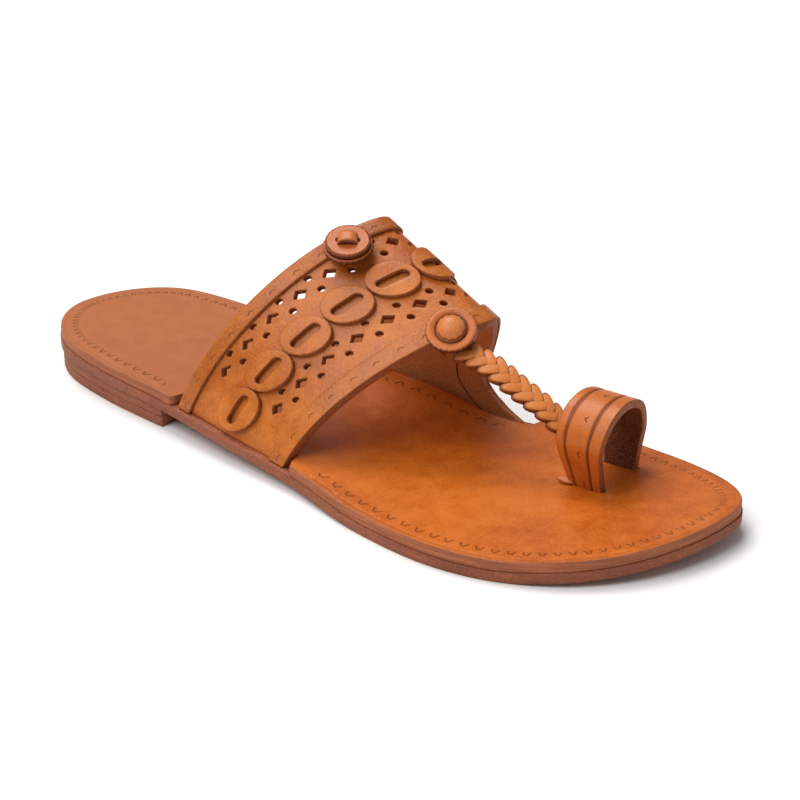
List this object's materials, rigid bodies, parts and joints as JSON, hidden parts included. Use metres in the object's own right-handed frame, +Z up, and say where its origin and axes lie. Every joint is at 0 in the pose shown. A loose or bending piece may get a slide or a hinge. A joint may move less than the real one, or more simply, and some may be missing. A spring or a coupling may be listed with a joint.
{
  "type": "kolhapuri sandal",
  "caption": "Flat leather toe-ring sandal for the right foot: open-work instep band with slotted discs and rosettes, braided thong, toe loop, layered sole and low stacked heel.",
  "frame": {"origin": "on the floor, under the middle of the box around the sandal", "axes": "+X from heel to toe, +Y towards the inner (big-toe) side of the foot, +Z up"},
  "size_m": [0.26, 0.093, 0.0708],
  "materials": {
    "upper_leather": "smooth glossy tan leather, lightly grained",
    "strip_leather": "smooth tan leather strip, cut edges darker",
    "insole_leather": "smooth tan leather, burnished",
    "sole_leather": "cut sole leather, rough red-brown edge",
    "braid_leather": "tan leather strands, plaited"
  },
  "bodies": {
    "root": {"heel_lift_lower": "sole_leather", "heel_lift_upper": "sole_leather", "outsole": "sole_leather", "insole": "insole_leather", "instep_band": "upper_leather", "back_edge_strip": "strip_leather", "front_edge_strip": "strip_leather", "slotted_disc_1": "upper_leather", "slotted_disc_2": "upper_leather", "slotted_disc_3": "upper_leather", "slotted_disc_4": "upper_leather", "slotted_disc_5": "upper_leather", "slotted_disc_6": "upper_leather", "slotted_disc_7": "upper_leather", "slotted_disc_8": "upper_leather", "slotted_disc_9": "upper_leather", "back_rosette_lower": "upper_leather", "back_rosette_upper": "upper_leather", "back_rosette_knot": "braid_leather", "front_rosette": "upper_leather", "front_rosette_button": "upper_leather", "braided_thong": "braid_leather", "toe_ring": "upper_leather"}
  },
  "joints": []
}
